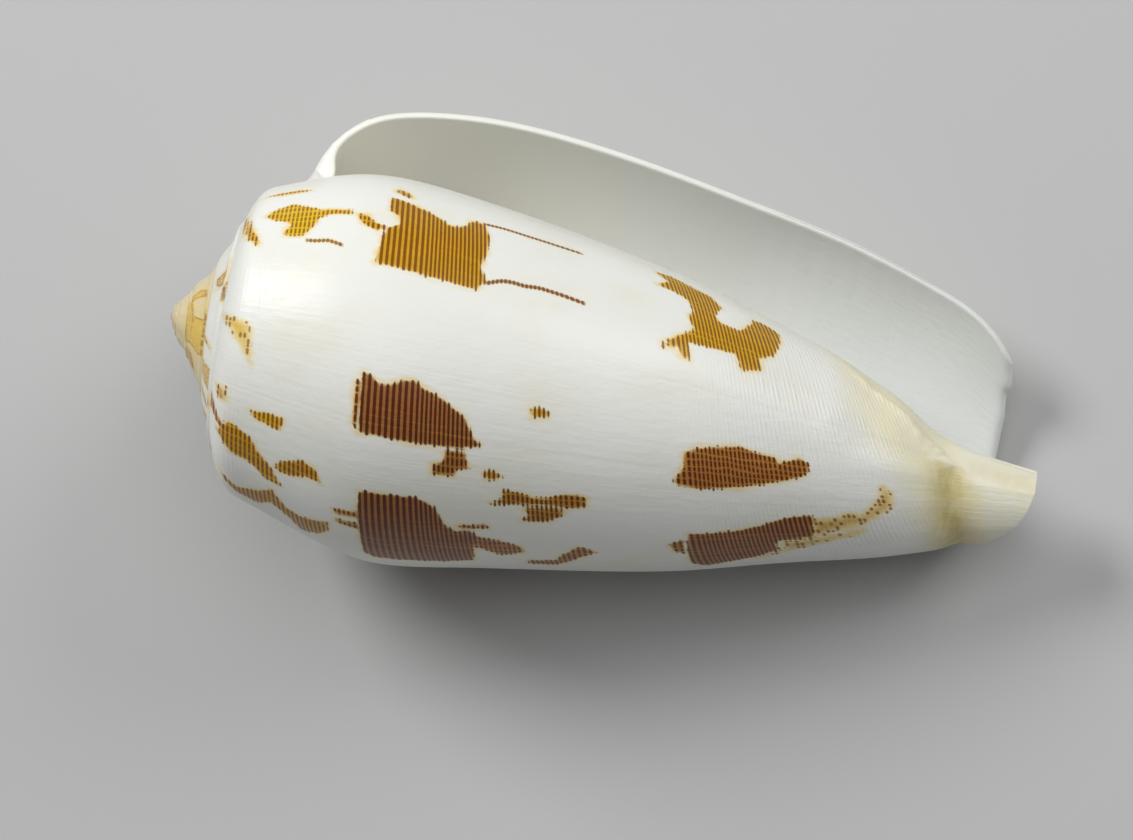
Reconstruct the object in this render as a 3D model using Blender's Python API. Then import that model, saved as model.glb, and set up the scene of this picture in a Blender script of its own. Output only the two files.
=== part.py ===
# Cone shell lying on its back, aperture up.
# One solid: a profile that grows while it winds about the axis, with a hollow
# last whorl, a flared thin lip and a scooped front tip.
# Profile values are millimetres in the shell's own frame: along the axis from
# the apex, and out from it. A turn is one whole revolution, and turn 0 is the
# side that the free lip comes round to again, one turn later.
import math

import bmesh
import bpy
import numpy as np
from mathutils import Matrix, Vector

mm = 0.001
fullTurn = 2 * math.pi

# Mesh fineness
columnsPerTurn = 60
rampRows = 5
bodyRows = 22

# Suture spiral: where each whorl meets the one before it
sutureTurns = (-5, -4, -3, -2, -1.5, -1, -0.5, 0, 0.5, 1, 1.5, 2)
sutureRadius = (0.36, 0.75, 1.55, 3.05, 4.25, 5.85, 8.35, 11.1, 13.3, 15.7, 17.95, 20.2)
sutureAlong = (0.05, 0.25, 0.8, 1.85, 2.9, 3.8, 5.4, 6.0, 7.6, 9.6, 12.7, 16.2)
apexTurn = -4.4

# Ramp and shoulder between two sutures, as shares of the way out and along
rampRadiusShares = (0.37, 0.76)
rampAlongShares = (0.15, 0.42)
oldRampAlongShares = (0.36, 0.86)  # on the older whorls of the spire, which are straight-sided
oldRampEndTurn = -0.6

# Body profile below the shoulder: one list per section, from shoulder to tip
sectionTurns = (-0.5, 0, 0.5, 1)
sectionAlong = (
    (12.0, 17.5, 26.0, 36.0, 49.5, 61.5, 72.5, 79.5),
    (14.6, 21.2, 30.5, 41.0, 54.0, 65.5, 75.6, 81.4),
    (18.2, 25.5, 34.5, 45.0, 56.5, 66.8, 76.0, 82.4),
    (22.0, 29.5, 38.5, 48.5, 59.0, 68.5, 76.5, 82.5),
)
sectionRadius = (
    (15.2, 16.4, 15.7, 14.3, 12.0, 9.1, 6.0, 3.1),
    (17.65, 18.65, 17.95, 16.5, 13.95, 10.65, 7.1, 3.75),
    (19.7, 21.2, 20.0, 18.1, 15.9, 13.0, 10.6, 8.5),
    (21.8, 23.1, 21.9, 19.9, 17.8, 15.0, 12.5, 10.4),
)

# Front margin all the way round: the tip, the canal and the end of the lip
marginDegrees = (-180, -12, 45, 90, 120, 140, 160, 180, 200, 230, 270, 360)
marginAlong = (91.0, 91.8, 91.6, 91.4, 91.0, 90.3, 89.1, 87.8, 87.4, 88.0, 88.8, 89.0)
marginRadius = (1.6, 1.95, 2.7, 3.9, 4.7, 5.3, 6.0, 6.7, 7.2, 7.8, 8.4, 9.4)

# Flared edge of the lip, from just below the suture to its front corner
lipDegrees = 348
flareStartDegrees = 225
lipAlong = (11.2, 12.5, 16.0, 21.4, 28.8, 37.0, 46.7, 57.3, 67.2, 76.0, 83.2, 88.2)
lipUp = (17.2, 20.6, 24.3, 26.2, 27.0, 26.8, 25.7, 24.0, 22.2, 19.8, 16.9, 12.5)
lipOut = (-3.6, -3.6, -3.4, -3.2, -3.0, -3.0, -3.2, -3.6, -4.0, -4.4, -4.6, -4.8)

# Walls and the hollow
cavityEndDegrees = 198
lipThickness = 0.75
wallGain = 1.0
tipThickness = 1.3
coreWear = 1.2
scoopStart = 0.80  # share of the profile where the core begins to hollow toward the tip

# Resting pose: how far the front end dips, the roll about the axis, and the place on
# the floor, set low enough that the back is flattened by 0.4 mm where it rests
dipDegrees = 10.58
rollDegrees = 9.77
restShift = (-45.29, -3.06, 26.571)

profileSteps = 12
sutureStation = 3 / profileSteps  # the next whorl is attached here
wallStation = 3.75 / profileSteps  # the hollow begins here, a wall's width further
lipTurn = lipDegrees / 360
mouthTurn = lipTurn - 1
cavityEndTurn = cavityEndDegrees / 360
flareStartTurn = flareStartDegrees / 360
dip = math.radians(dipDegrees)
roll = math.radians(rollDegrees)
restUp = (-math.sin(dip), math.cos(dip) * math.sin(roll), math.cos(dip) * math.cos(roll))


def ease(value):
    held = np.clip(value, 0, 1)
    return held * held * (3 - 2 * held)


def splineWeights(keys, wanted):
    """Rows that turn values at the keys into natural cubic spline values at the wanted places."""
    keys = np.asarray(keys, float)
    wanted = np.asarray(wanted, float)
    count = len(keys)
    gaps = np.diff(keys)
    left = np.eye(count)
    right = np.zeros((count, count))
    for i in range(1, count - 1):
        left[i, i - 1 : i + 2] = gaps[i - 1], 2 * (gaps[i - 1] + gaps[i]), gaps[i]
        right[i, i - 1 : i + 2] = 6 / gaps[i - 1], -6 / gaps[i - 1] - 6 / gaps[i], 6 / gaps[i]
    bend = np.linalg.solve(left, right)
    cell = np.clip(np.searchsorted(keys, wanted, side="right") - 1, 0, count - 2)
    gap = gaps[cell]
    after = (wanted - keys[cell]) / gap
    before = 1 - after
    weights = np.zeros((len(wanted), count))
    rows = np.arange(len(wanted))
    weights[rows, cell] += before
    weights[rows, cell + 1] += after
    weights += ((before**3 - before) * gap**2 / 6)[:, None] * bend[cell]
    weights += ((after**3 - after) * gap**2 / 6)[:, None] * bend[cell + 1]
    return weights


def steadyCurve(keys, values, wanted):
    """Cubic through the keys that never swings past them."""
    keys = np.asarray(keys, float)
    values = np.asarray(values, float)
    gaps = np.diff(keys)
    slopes = np.diff(values) / gaps
    tangents = np.zeros(len(keys))
    tangents[0] = slopes[0]
    tangents[-1] = slopes[-1]
    for i in range(1, len(keys) - 1):
        if slopes[i - 1] * slopes[i] > 0:
            near = 2 * gaps[i] + gaps[i - 1]
            far = gaps[i] + 2 * gaps[i - 1]
            tangents[i] = (near + far) / (near / slopes[i - 1] + far / slopes[i])
    cell = np.clip(np.searchsorted(keys, wanted, side="right") - 1, 0, len(keys) - 2)
    gap = gaps[cell]
    part = np.clip((wanted - keys[cell]) / gap, 0, 1)
    start = (1 + 2 * part) * (1 - part) ** 2 * values[cell] + part * (1 - part) ** 2 * gap * tangents[cell]
    end = part**2 * (3 - 2 * part) * values[cell + 1] + part**2 * (part - 1) * gap * tangents[cell + 1]
    return start + end


def sutureAt(turns):
    weights = splineWeights(sutureTurns, turns)
    return weights @ np.array(sutureAlong), np.exp(weights @ np.log(sutureRadius))


def profileControls(turns):
    """Along and radius of the profile's 13 control points, for each turn value."""
    along0, radius0 = sutureAt(turns)
    along3, radius3 = sutureAt(turns + 1)
    along = np.zeros((profileSteps + 1, len(turns)))
    radius = np.zeros((profileSteps + 1, len(turns)))
    along[0], radius[0] = along0, radius0
    along[3], radius[3] = along3, radius3
    newness = ease((turns - oldRampEndTurn) / -oldRampEndTurn)
    for i in range(2):
        share = oldRampAlongShares[i] + (rampAlongShares[i] - oldRampAlongShares[i]) * newness
        along[1 + i] = along0 + (along3 - along0) * share
        radius[1 + i] = radius0 + (radius3 - radius0) * rampRadiusShares[i]
    # Whorls older than the first section are that section made smaller
    measured = np.clip(turns, sectionTurns[0], sectionTurns[-1])
    measuredAlong, measuredRadius = sutureAt(np.maximum(turns, sectionTurns[0]) + 1)
    shrink = radius3 / measuredRadius
    shift = along3 - measuredAlong * shrink
    weights = splineWeights(sectionTurns, measured)
    along[4:12] = (weights @ np.array(sectionAlong)).T * shrink + shift
    radius[4:12] = (weights @ np.array(sectionRadius)).T * shrink
    along[12] = steadyCurve(marginDegrees, marginAlong, measured * 360) * shrink + shift
    radius[12] = steadyCurve(marginDegrees, marginRadius, measured * 360) * shrink
    return along, radius


def outerSurface(turns, stations):
    """Points of the outer surface, a grid of turns by stations: along, up and toward the viewer."""
    turns = np.atleast_1d(np.asarray(turns, float))
    weights = splineWeights(np.arange(profileSteps + 1) / profileSteps, np.atleast_1d(stations))
    along, radius = profileControls(turns)
    angle = turns[:, None] * fullTurn
    out = (weights @ radius).T
    wound = np.stack([(weights @ along).T, out * np.cos(angle), out * np.sin(angle)], -1)
    # The lip's free edge pulls the last third of a turn outward, not at the suture
    edgeAlong, edgeRadius = profileControls(np.array([lipTurn]))
    edgeAngle = lipTurn * fullTurn
    pull = np.zeros((profileSteps + 1, 3))
    pull[1:, 0] = np.array(lipAlong) - edgeAlong[1:, 0]
    pull[1:, 1] = np.array(lipUp) - edgeRadius[1:, 0] * math.cos(edgeAngle)
    pull[1:, 2] = np.array(lipOut) - edgeRadius[1:, 0] * math.sin(edgeAngle)
    flare = np.clip((turns - flareStartTurn) / (lipTurn - flareStartTurn), 0, 1) ** 2
    surface = wound + flare[:, None, None] * (weights @ pull)
    # Nothing reaches below the floor: the back is flat where it lies on it
    height = surface @ np.array(restUp) + restShift[2]
    return surface + np.maximum(-height, 0)[..., None] * np.array(restUp)


def outwardNormals(turns, stations):
    turns = np.atleast_1d(turns)
    nudge = 0.002
    down = outerSurface(turns, np.clip(stations + nudge, 0, 1))
    down -= outerSurface(turns, np.clip(stations - nudge, 0, 1))
    later = np.minimum(turns + nudge, lipTurn)
    ahead = outerSurface(later, stations) - outerSurface(later - 2 * nudge, stations)
    normal = np.cross(ahead, down)
    return normal / np.linalg.norm(normal, axis=-1, keepdims=True)


def gridFaces(grid):
    corners = (grid[:-1, :-1], grid[1:, :-1], grid[1:, 1:], grid[:-1, 1:])
    return np.stack(corners, -1).reshape(-1, 4).tolist()


def zipFaces(first, second, points):
    """Triangles between two runs of points that may differ in number."""
    reach = []
    for run in (first, second):
        steps = np.linalg.norm(np.diff(points[run], axis=0), axis=1)
        reach.append(np.append(0, np.cumsum(steps)) / steps.sum())
    i = 0
    j = 0
    faces = []
    while i < len(first) - 1 or j < len(second) - 1:
        onFirst = j == len(second) - 1
        if not onFirst and i < len(first) - 1:
            onFirst = reach[0][i + 1] <= reach[1][j + 1]
        if onFirst:
            faces.append([first[i], first[i + 1], second[j]])
            i += 1
        else:
            faces.append([first[i], second[j + 1], second[j]])
            j += 1
    return faces


def hollowWalls(turns, stations):
    """The last whorl's inner face and the core that it winds round, both from the same seam."""
    seam = outerSurface(turns - 1, [wallStation])[:, 0]
    # Inner face: the outer one moved in by the wall, drawn to the seam at its start
    firstInner = 0.03
    innerStations = firstInner + (stations - wallStation) / (1 - wallStation) * (1 - firstInner)
    deeper = ease((lipTurn - turns) * 6)
    taper = 1 - 0.52 * ease((innerStations - 0.85) / 0.15)
    thickness = lipThickness + wallGain * deeper[:, None] * taper
    inner = outerSurface(turns, innerStations)
    inner -= thickness[..., None] * outwardNormals(turns, innerStations)
    drawn = 1 - ease((innerStations - firstInner) / 0.18)
    inner += drawn[None, :, None] * (seam - inner[:, 0])[:, None]
    # Core: the previous whorl, worn thinner deep inside, and a thin scoop at the tip
    inward = (lipTurn - turns) / (lipTurn - cavityEndTurn)
    wear = coreWear * ease((inward - 0.1) / 0.5)[:, None] * ease((stations - wallStation) / 0.09)
    worn = outerSurface(turns - 1, stations)
    worn -= wear[..., None] * outwardNormals(turns - 1, stations)
    scoopTurns = mouthTurn + inward * (cavityEndTurn - mouthTurn)
    meeting = thickness[0, -1]
    depth = tipThickness + (meeting - tipThickness) * ease((inward - 0.6) / 0.4)
    depth *= np.clip(inward / 0.15, 0, 1) ** 0.6
    scooped = outerSurface(scoopTurns, stations)
    scooped -= depth[:, None, None] * outwardNormals(scoopTurns, stations)
    share = ease((stations - scoopStart) / (1 - scoopStart))[None, :, None]
    core = worn * (1 - share) + scooped * share
    core[:, 0] = seam
    core[0, -1] = inner[0, -1]
    return inner, core


def shellPoints():
    """All points and faces of the closed shell; touching patches share their edge points."""
    step = 1 / columnsPerTurn
    rampStations = np.linspace(0, sutureStation, rampRows + 1)
    bodyStations = np.linspace(wallStation, 1, bodyRows + 1)
    stations = np.concatenate([rampStations, bodyStations])
    earlyCount = round((mouthTurn - apexTurn) * columnsPerTurn)
    earlyTurns = mouthTurn - step * np.arange(earlyCount, -1, -1)
    lateTurns = mouthTurn + step * np.arange(columnsPerTurn + 1)
    hollow = lateTurns > cavityEndTurn - step / 2
    spire = outerSurface(earlyTurns, rampStations)
    body = outerSurface(lateTurns, stations)
    inner, core = hollowWalls(lateTurns[hollow], bodyStations)
    body[0, rampRows + 1 :] = core[-1]

    patches = []
    total = 0
    for patch in (spire, body, inner, core):
        size = patch.shape[0] * patch.shape[1]
        patches.append(np.arange(total, total + size).reshape(patch.shape[:2]))
        total += size
    points = np.concatenate([patch.reshape(-1, 3) for patch in (spire, body, inner, core)])
    spireIds, bodyIds, innerIds, coreIds = patches

    faces = []
    for grid in patches:
        faces += gridFaces(grid)
    faces += gridFaces(np.stack([innerIds[0], coreIds[0]]))  # closed end of the hollow
    lipInside = [bodyIds[0, rampRows], *innerIds[-1]]
    faces += zipFaces(list(bodyIds[-1]), lipInside, points)  # edge of the lip
    faces += gridFaces(np.stack([bodyIds[hollow, -1], innerIds[:, -1]]))  # front edge of the lip
    tipOutside = list(bodyIds[lateTurns < cavityEndTurn + step / 2, -1])
    faces += zipFaces(tipOutside, list(coreIds[::-1, -1]), points)  # rim of the tip

    # The apex is a small dome over the first turn of the suture
    ring = list(spireIds[: columnsPerTurn + 1, 0]) + list(spireIds[0, -2::-1])
    dome = points[ring].mean(0)
    dome[0] = points[ring][:, 0].min() - 0.06
    points = np.vstack([points, dome])
    faces += [[ring[i], ring[i + 1], len(points) - 1] for i in range(len(ring) - 1)]
    return points, faces


def restMatrix():
    """From the shell's frame to the world: apex at -X, lip's hollow up, lowest point on the floor."""
    up = Vector(restUp)
    ahead = (Vector((1, 0, 0)) - up * up.x).normalized()
    side = up.cross(ahead)
    turned = Matrix((ahead, side, up)).to_4x4()
    return Matrix.Scale(mm, 4) @ Matrix.Translation(restShift) @ turned


def shellMaterial():
    material = bpy.data.materials.new("shell")
    material.use_nodes = True
    surface = material.node_tree.nodes["Principled BSDF"]
    surface.inputs["Base Color"].default_value = (0.78, 0.76, 0.70, 1)
    surface.inputs["Roughness"].default_value = 0.2
    surface.inputs["Metallic"].default_value = 0.0
    return material


def makeShell():
    points, faces = shellPoints()
    build = bmesh.new()
    place = restMatrix()
    made = [build.verts.new(place @ Vector(point)) for point in points]
    weld = bmesh.ops.find_doubles(build, verts=made, dist=2e-7)["targetmap"]
    corners = [weld.get(vertex, vertex) for vertex in made]
    for face in faces:
        ring = []
        for index in face:
            if corners[index] not in ring:
                ring.append(corners[index])
        if len(ring) > 2:
            build.faces.new(ring)
    bmesh.ops.delete(build, geom=[v for v in made if not v.link_faces], context="VERTS")
    bmesh.ops.recalc_face_normals(build, faces=build.faces)
    mesh = bpy.data.meshes.new("shell")
    build.to_mesh(mesh)
    build.free()
    mesh.shade_smooth()
    mesh.materials.append(shellMaterial())
    shell = bpy.data.objects.new("shell", mesh)
    bpy.context.scene.collection.objects.link(shell)
    return shell


for leftover in list(bpy.data.objects):
    bpy.data.objects.remove(leftover)
makeShell()
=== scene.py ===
# Cone shell lying on its back: wound whorls, hollow flared lip, fine threads and striped blotches
import math
from functools import partial

import bmesh
import bpy
import numpy as np
from mathutils import Matrix, Vector


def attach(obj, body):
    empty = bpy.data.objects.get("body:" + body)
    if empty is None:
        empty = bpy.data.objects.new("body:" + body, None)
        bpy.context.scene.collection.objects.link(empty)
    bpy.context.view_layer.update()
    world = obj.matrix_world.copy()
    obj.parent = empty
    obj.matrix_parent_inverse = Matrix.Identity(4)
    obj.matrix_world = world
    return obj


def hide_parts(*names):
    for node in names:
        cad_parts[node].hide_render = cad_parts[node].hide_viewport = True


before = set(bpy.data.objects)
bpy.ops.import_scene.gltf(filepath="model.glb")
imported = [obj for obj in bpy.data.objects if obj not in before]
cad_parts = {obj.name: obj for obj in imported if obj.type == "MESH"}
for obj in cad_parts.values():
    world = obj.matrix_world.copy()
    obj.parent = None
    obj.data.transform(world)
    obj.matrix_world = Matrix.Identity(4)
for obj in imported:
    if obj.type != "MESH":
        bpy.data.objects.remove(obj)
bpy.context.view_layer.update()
scene = bpy.context.scene
mm = 0.001
fullTurn = 2 * math.pi

# How the shell winds. Millimetres in its own frame: along the axis from the apex, up towards
# the lip's side, out towards the viewer. A turn is one revolution, and turn 0 faces up.
winding = {
    "apexTurn": -4.4,
    "sutureTurns": (-5, -4, -3, -2, -1.5, -1, -0.5, 0, 0.5, 1, 1.5, 2),
    "sutureRadius": (0.36, 0.75, 1.55, 3.05, 4.25, 5.85, 8.35, 11.1, 13.3, 15.7, 17.95, 20.2),
    "sutureAlong": (0.05, 0.25, 0.8, 1.85, 2.9, 3.8, 5.4, 6.0, 7.6, 9.6, 12.7, 16.2),
    "rampRadiusShares": (0.37, 0.76),  # the ramp between two sutures, as shares of the way out
    "rampAlongShares": (0.15, 0.42),  # and of the way along
    "oldRampAlongShares": (0.36, 0.86),  # straighter on the older whorls of the spire
    "oldRampEndTurn": -0.6,
    "sectionTurns": (-0.5, 0, 0.5, 1),
    "sectionAlong": (  # the body below the shoulder, one list per section
        (12.0, 17.5, 26.0, 36.0, 49.5, 61.5, 72.5, 79.5),
        (14.6, 21.2, 30.5, 41.0, 54.0, 65.5, 75.6, 81.4),
        (18.2, 25.5, 34.5, 45.0, 56.5, 66.8, 76.0, 82.4),
        (22.0, 29.5, 38.5, 48.5, 59.0, 68.5, 76.5, 82.5),
    ),
    "sectionRadius": (
        (15.2, 16.4, 15.7, 14.3, 12.0, 9.1, 6.0, 3.1),
        (17.65, 18.65, 17.95, 16.5, 13.95, 10.65, 7.1, 3.75),
        (19.7, 21.2, 20.0, 18.1, 15.9, 13.0, 10.6, 8.5),
        (21.8, 23.1, 21.9, 19.9, 17.8, 15.0, 12.5, 10.4),
    ),
    "marginDegrees": (-180, -12, 45, 90, 120, 140, 160, 180, 200, 230, 270, 360),  # front margin
    "marginAlong": (91.0, 91.8, 91.6, 91.4, 91.0, 90.3, 89.1, 87.8, 87.4, 88.0, 88.8, 89.0),
    "marginRadius": (1.6, 1.95, 2.7, 3.9, 4.7, 5.3, 6.0, 6.7, 7.2, 7.8, 8.4, 9.4),
    "lipDegrees": 348,
    "flareStartDegrees": 225,
    "lipAlong": (11.2, 12.5, 16.0, 21.4, 28.8, 37.0, 46.7, 57.3, 67.2, 76.0, 83.2, 88.2),
    "lipUp": (17.2, 20.6, 24.3, 26.2, 27.0, 26.8, 25.7, 24.0, 22.2, 19.8, 16.9, 12.5),
    "lipOut": (-3.6, -3.6, -3.4, -3.2, -3.0, -3.0, -3.2, -3.6, -4.0, -4.4, -4.6, -4.8),
    "cavityEndDegrees": 198,
    "lipThickness": 0.75,
    "wallGain": 1.0,
    "tipThickness": 1.3,
    "coreWear": 1.2,
    "scoopStart": 0.80,
    "dipDegrees": 10.58,  # resting pose on the floor
    "rollDegrees": 9.77,
    "restShift": (-45.29, -3.06, 26.571),
}
meshing = {
    "columns": 270,  # regular columns in a turn
    "lipColumns": 7,  # closer ones just before the lip's edge
    "rampRows": 11,
    "midRows": 92,  # body rows as far as frontStation, and closer ones from there
    "frontRows": 126,
    "frontStation": 0.66,
    "marginStation": 0.9945,  # four close rows follow, where the front margin is rounded
    "hollowColumns": 96,
    "hollowRows": 72,
    "hollowGrowth": 1.3,  # columns widen away from the lip
    "lipRoundTurns": (0.0002, 0.0007, 0.0015),  # extra columns beside it
}
profileSteps = 12
sutureStation = 3 / profileSteps  # the next whorl is attached here
wallStation = 3.75 / profileSteps  # the hollow begins here, a wall's width further
firstInner = 0.03  # station where the hollow's inner face starts under the suture
lipTurn = winding["lipDegrees"] / 360
mouthTurn = lipTurn - 1
cavityEndTurn = winding["cavityEndDegrees"] / 360
flareStartTurn = winding["flareStartDegrees"] / 360
dip = math.radians(winding["dipDegrees"])
roll = math.radians(winding["rollDegrees"])
restUp = np.array((-math.sin(dip), math.cos(dip) * math.sin(roll), math.cos(dip) * math.cos(roll)))


def ease(value):
    held = np.clip(value, 0, 1)
    return held * held * (3 - 2 * held)


def runIn(value, startAndRun):  # 0 up to a start, then easing to 1 over a run
    return ease((value - startAndRun[0]) / startAndRun[1])


def splineWeights(keys, wanted):  # rows that turn values at the keys into natural cubic spline values
    keys = np.asarray(keys, float)
    wanted = np.asarray(wanted, float)
    count = len(keys)
    gaps = np.diff(keys)
    left = np.eye(count)
    right = np.zeros((count, count))
    for i in range(1, count - 1):
        left[i, i - 1 : i + 2] = gaps[i - 1], 2 * (gaps[i - 1] + gaps[i]), gaps[i]
        right[i, i - 1 : i + 2] = 6 / gaps[i - 1], -6 / gaps[i - 1] - 6 / gaps[i], 6 / gaps[i]
    bend = np.linalg.solve(left, right)
    cell = np.clip(np.searchsorted(keys, wanted, side="right") - 1, 0, count - 2)
    gap = gaps[cell]
    after = (wanted - keys[cell]) / gap
    before = 1 - after
    weights = np.zeros((len(wanted), count))
    rows = np.arange(len(wanted))
    weights[rows, cell] += before
    weights[rows, cell + 1] += after
    weights += ((before**3 - before) * gap**2 / 6)[:, None] * bend[cell]
    weights += ((after**3 - after) * gap**2 / 6)[:, None] * bend[cell + 1]
    return weights


def steadyCurve(keys, values, wanted):  # cubic through the keys that never swings past them
    keys = np.asarray(keys, float)
    values = np.asarray(values, float)
    gaps = np.diff(keys)
    slopes = np.diff(values) / gaps
    tangents = np.zeros(len(keys))
    tangents[0] = slopes[0]
    tangents[-1] = slopes[-1]
    for i in range(1, len(keys) - 1):
        if slopes[i - 1] * slopes[i] > 0:
            near = 2 * gaps[i] + gaps[i - 1]
            far = gaps[i] + 2 * gaps[i - 1]
            tangents[i] = (near + far) / (near / slopes[i - 1] + far / slopes[i])
    cell = np.clip(np.searchsorted(keys, wanted, side="right") - 1, 0, len(keys) - 2)
    gap = gaps[cell]
    part = np.clip((wanted - keys[cell]) / gap, 0, 1)
    start = (1 + 2 * part) * (1 - part) ** 2 * values[cell] + part * (1 - part) ** 2 * gap * tangents[cell]
    end = part**2 * (3 - 2 * part) * values[cell + 1] + part**2 * (part - 1) * gap * tangents[cell + 1]
    return start + end


def sutureAt(turns):
    weights = splineWeights(winding["sutureTurns"], turns)
    return weights @ np.array(winding["sutureAlong"]), np.exp(weights @ np.log(winding["sutureRadius"]))


def profileControls(turns):  # along and radius of the profile's 13 control points at each turn
    along0, radius0 = sutureAt(turns)
    along3, radius3 = sutureAt(turns + 1)
    along = np.zeros((profileSteps + 1, len(turns)))
    radius = np.zeros((profileSteps + 1, len(turns)))
    along[0], radius[0] = along0, radius0
    along[3], radius[3] = along3, radius3
    newness = ease((turns - winding["oldRampEndTurn"]) / -winding["oldRampEndTurn"])
    for i in range(2):
        old = winding["oldRampAlongShares"][i]
        share = old + (winding["rampAlongShares"][i] - old) * newness
        along[1 + i] = along0 + (along3 - along0) * share
        radius[1 + i] = radius0 + (radius3 - radius0) * winding["rampRadiusShares"][i]
    sections = winding["sectionTurns"]
    measured = np.clip(turns, sections[0], sections[-1])
    measuredAlong, measuredRadius = sutureAt(np.maximum(turns, sections[0]) + 1)
    shrink = radius3 / measuredRadius  # whorls older than the first section are that one made smaller
    shift = along3 - measuredAlong * shrink
    weights = splineWeights(sections, measured)
    along[4:12] = (weights @ np.array(winding["sectionAlong"])).T * shrink + shift
    radius[4:12] = (weights @ np.array(winding["sectionRadius"])).T * shrink
    degrees = measured * 360
    along[12] = steadyCurve(winding["marginDegrees"], winding["marginAlong"], degrees) * shrink + shift
    radius[12] = steadyCurve(winding["marginDegrees"], winding["marginRadius"], degrees) * shrink
    return along, radius


def outerSurface(turns, stations):  # a grid of points, turns by stations
    turns = np.atleast_1d(np.asarray(turns, float))
    weights = splineWeights(np.arange(profileSteps + 1) / profileSteps, np.atleast_1d(stations))
    along, radius = profileControls(turns)
    angle = turns[:, None] * fullTurn
    out = (weights @ radius).T
    wound = np.stack([(weights @ along).T, out * np.cos(angle), out * np.sin(angle)], -1)
    edgeAlong, edgeRadius = profileControls(np.array([lipTurn]))
    edgeAngle = lipTurn * fullTurn
    pull = np.zeros((profileSteps + 1, 3))  # the free edge pulls the last third of a turn outward
    pull[1:, 0] = np.array(winding["lipAlong"]) - edgeAlong[1:, 0]
    pull[1:, 1] = np.array(winding["lipUp"]) - edgeRadius[1:, 0] * math.cos(edgeAngle)
    pull[1:, 2] = np.array(winding["lipOut"]) - edgeRadius[1:, 0] * math.sin(edgeAngle)
    flare = np.clip((turns - flareStartTurn) / (lipTurn - flareStartTurn), 0, 1) ** 2
    surface = wound + flare[:, None, None] * (weights @ pull)
    height = surface @ restUp + winding["restShift"][2]  # flat where it lies on the floor
    return surface + np.maximum(-height, 0)[..., None] * restUp


def outwardNormals(turns, stations):
    turns = np.atleast_1d(turns)
    nudge = 0.002
    down = outerSurface(turns, np.clip(stations + nudge, 0, 1))
    down -= outerSurface(turns, np.clip(stations - nudge, 0, 1))
    later = np.minimum(turns + nudge, lipTurn)
    ahead = outerSurface(later, stations) - outerSurface(later - 2 * nudge, stations)
    normal = np.cross(ahead, down)
    return normal / np.linalg.norm(normal, axis=-1, keepdims=True)


def innerStationsFor(stations):  # where on the outer face each row of the inner face lies
    return firstInner + (stations - wallStation) / (1 - wallStation) * (1 - firstInner)


def hollowWalls(turns, stations):  # the last whorl's inner face, and the core it winds round
    seam = outerSurface(turns - 1, [wallStation])[:, 0]
    innerStations = innerStationsFor(stations)
    deeper = ease((lipTurn - turns) * 6)
    taper = 1 - 0.52 * ease((innerStations - 0.85) / 0.15)
    thickness = winding["lipThickness"] + winding["wallGain"] * deeper[:, None] * taper
    inner = outerSurface(turns, innerStations)
    inner -= thickness[..., None] * outwardNormals(turns, innerStations)
    drawn = 1 - ease((innerStations - firstInner) / 0.18)
    inner += drawn[None, :, None] * (seam - inner[:, 0])[:, None]
    inward = (lipTurn - turns) / (lipTurn - cavityEndTurn)
    wear = winding["coreWear"] * ease((inward - 0.1) / 0.5)[:, None] * ease((stations - wallStation) / 0.09)
    worn = outerSurface(turns - 1, stations)
    worn -= wear[..., None] * outwardNormals(turns - 1, stations)
    scoopTurns = mouthTurn + inward * (cavityEndTurn - mouthTurn)
    meeting = thickness[0, -1]
    depth = winding["tipThickness"] + (meeting - winding["tipThickness"]) * ease((inward - 0.6) / 0.4)
    depth *= np.clip(inward / 0.15, 0, 1) ** 0.6
    scooped = outerSurface(scoopTurns, stations)
    scooped -= depth[:, None, None] * outwardNormals(scoopTurns, stations)
    share = ease((stations - winding["scoopStart"]) / (1 - winding["scoopStart"]))[None, :, None]
    core = worn * (1 - share) + scooped * share
    core[:, 0] = seam
    core[0, -1] = inner[0, -1]
    return inner, core


def restMatrix():  # from the shell's frame to the world, in metres
    up = Vector(restUp)
    ahead = (Vector((1, 0, 0)) - up * up.x).normalized()
    turned = Matrix((ahead, up.cross(ahead), up)).to_4x4()
    return Matrix.Scale(mm, 4) @ Matrix.Translation(winding["restShift"]) @ turned


# Threads are the fine spiral lines. Each keeps its place, the millimetres along the axis
# where it crosses the viewer's side, while it drifts round towards the spire.
threads = {
    "drift": 0.1333,
    "reach": 46.8,
    "places": (0, 21, 22, 27, 28, 40, 43, 54, 55, 61, 63, 90),
    "spacing": (0.45, 0.45, 0.6, 0.6, 0.43, 0.45, 0.58, 0.6, 0.42, 0.43, 0.5, 0.5),
}


def threadAt(along, degrees):
    turned = threads["drift"] * (np.radians(degrees) - math.pi / 2)
    held = np.maximum(along, 0.5)
    return threads["reach"] * np.log(1 + (np.exp(held / threads["reach"]) - 1) * np.exp(-turned))


def threadCount(places):  # how many threads lie between the shoulder and a place
    steps = np.linspace(0, 120, 1201)
    spacing = np.interp(steps, threads["places"], threads["spacing"])
    counted = np.concatenate([[0], np.cumsum(np.diff(steps) * 2 / (spacing[1:] + spacing[:-1]))])
    return np.interp(places, steps, counted)


def waver(places, seed):  # smooth random values from -1 to 1, one for each whole number
    table = np.random.default_rng(seed).uniform(-1, 1, 997)
    cell = np.floor(places).astype(int)
    part = ease(places - cell)
    return table[cell % 997] * (1 - part) + table[(cell + 1) % 997] * part


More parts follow.
